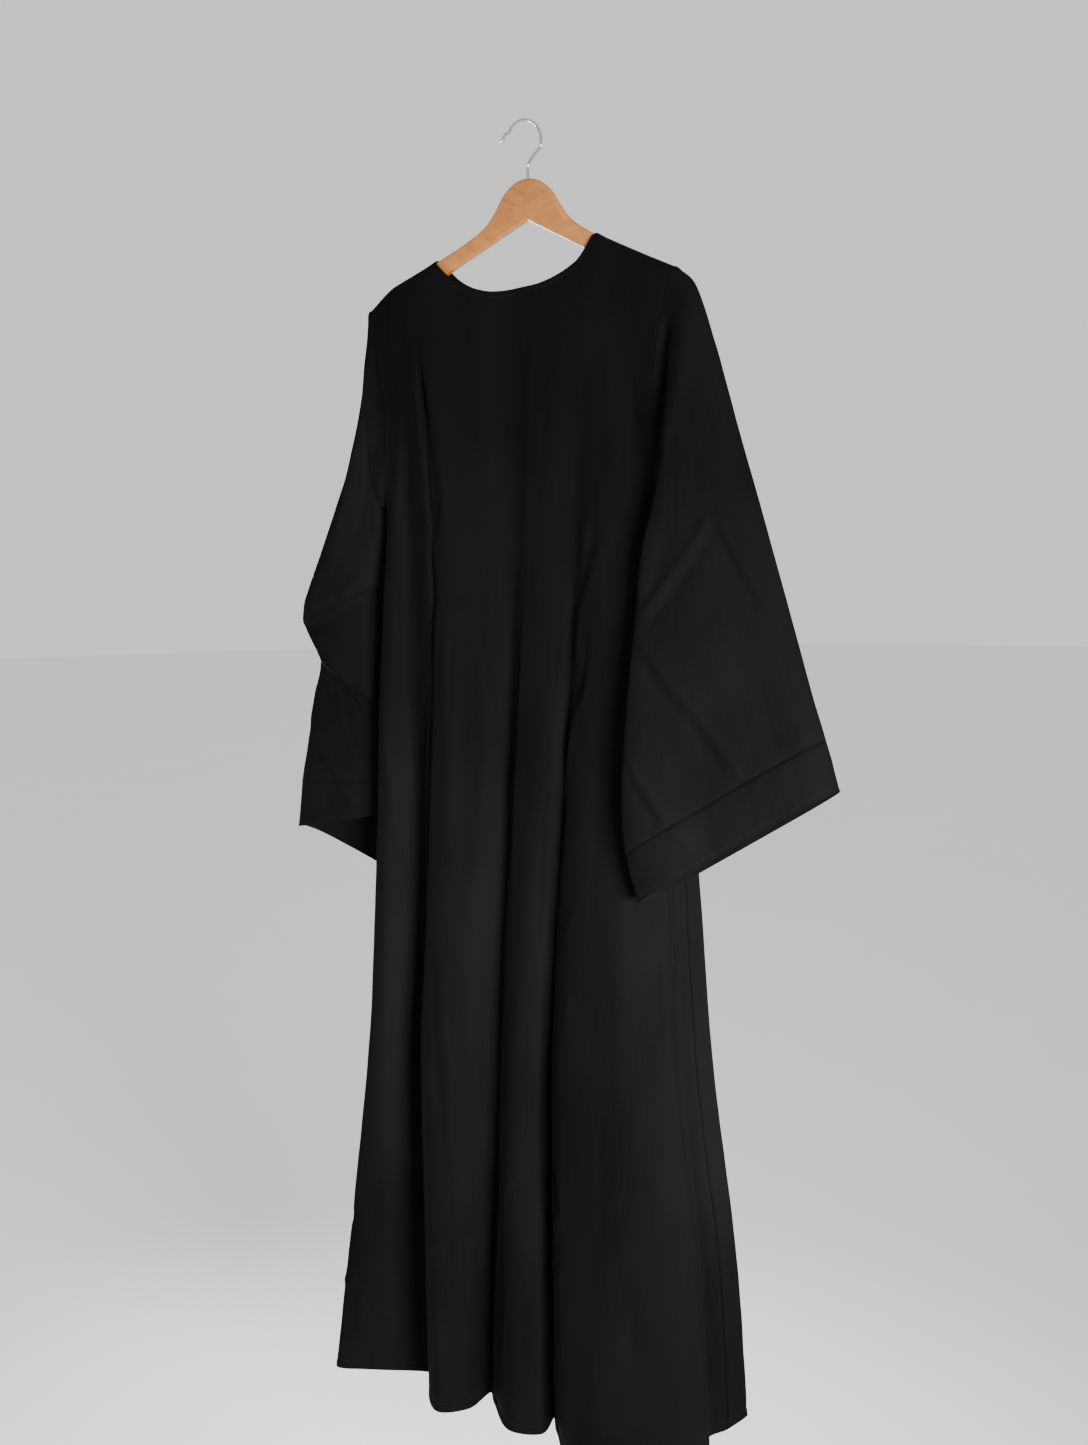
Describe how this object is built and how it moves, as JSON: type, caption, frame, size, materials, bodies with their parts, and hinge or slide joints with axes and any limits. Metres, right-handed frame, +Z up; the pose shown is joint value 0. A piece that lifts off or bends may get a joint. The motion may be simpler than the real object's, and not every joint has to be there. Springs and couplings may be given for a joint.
{
  "type": "abaya on a hanger",
  "caption": "Long loose black robe with wide cuffed sleeves and a round neck, hanging open at hem and cuffs on a wooden hanger with a chrome hook.",
  "frame": {"origin": "inside top of the hook, where it hangs", "axes": "+X to the right as someone facing the front sees it, +Y from the front to the back, +Z up"},
  "size_m": [0.8464, 0.1487, 1.6788],
  "materials": {
    "cloth": "black, matte with a soft sheen",
    "wood": "clear lacquer",
    "wire": "plated wire"
  },
  "bodies": {
    "root": {"front_panel": "cloth", "back_panel": "cloth", "sleeve_left": "cloth", "sleeve_right": "cloth", "cuff_band_left": "cloth", "cuff_band_right": "cloth", "hanger_left": "wood", "hanger_right": "wood", "hook": "wire"}
  },
  "joints": []
}
